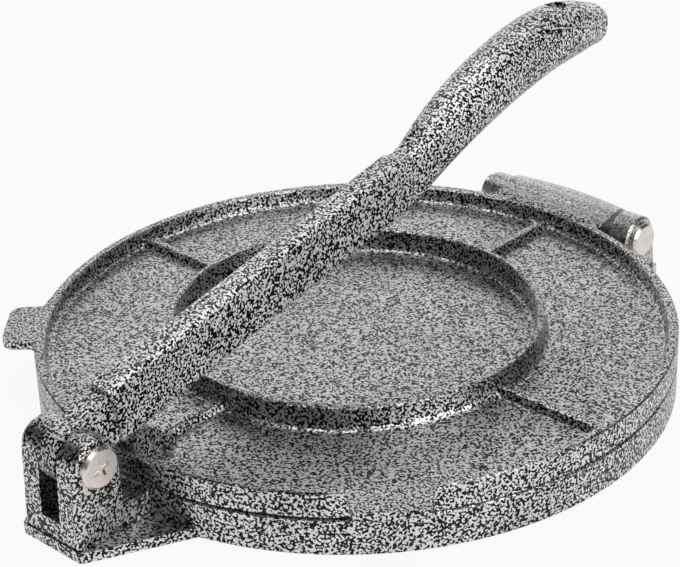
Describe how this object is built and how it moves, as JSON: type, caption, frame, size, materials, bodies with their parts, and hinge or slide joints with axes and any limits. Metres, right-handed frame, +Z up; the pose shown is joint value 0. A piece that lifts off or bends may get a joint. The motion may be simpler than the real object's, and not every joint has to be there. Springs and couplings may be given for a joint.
{
  "type": "tortilla press",
  "caption": "Hand press for flattening dough: two round ribbed cast plates hinged at the back, and a long lever in a front clevis that bears down on the upper plate.",
  "frame": {"origin": "on the table, under the middle of the closed press's bounding box", "axes": "+Z up, +Y from the lever's clevis towards the plates' hinge, +X to the right for someone who stands at the clevis"},
  "size_m": [0.204, 0.2546, 0.0967],
  "materials": {
    "hammertone_paint": "silver-grey hammertone with dark flecks, semi-gloss",
    "plated_steel": "nickel-plated, smooth"
  },
  "bodies": {
    "base": {"base_plate": "hammertone_paint", "lever_pin_sleeve": "plated_steel", "lever_pin_screw": "plated_steel", "hinge_pin_sleeve": "plated_steel", "hinge_pin_screw": "plated_steel"},
    "upper": {"upper_plate": "hammertone_paint"},
    "lever": {"lever": "hammertone_paint"}
  },
  "joints": [
    {"name": "lever_swing", "type": "hinge", "parent": "base", "child": "lever", "pos_m": [0, -0.11743, 0.0275], "axis": [1, 0, 0], "range_deg": [0, 168]},
    {"name": "plate_swing", "type": "hinge", "parent": "base", "child": "upper", "pos_m": [0, 0.11057, 0.0162], "axis": [-1, 0, 0], "range_deg": [0, 15.2]}
  ],
  "couplings": [
    {"joint": "plate_swing", "follows": "lever_swing", "ratio": 0.09}
  ]
}
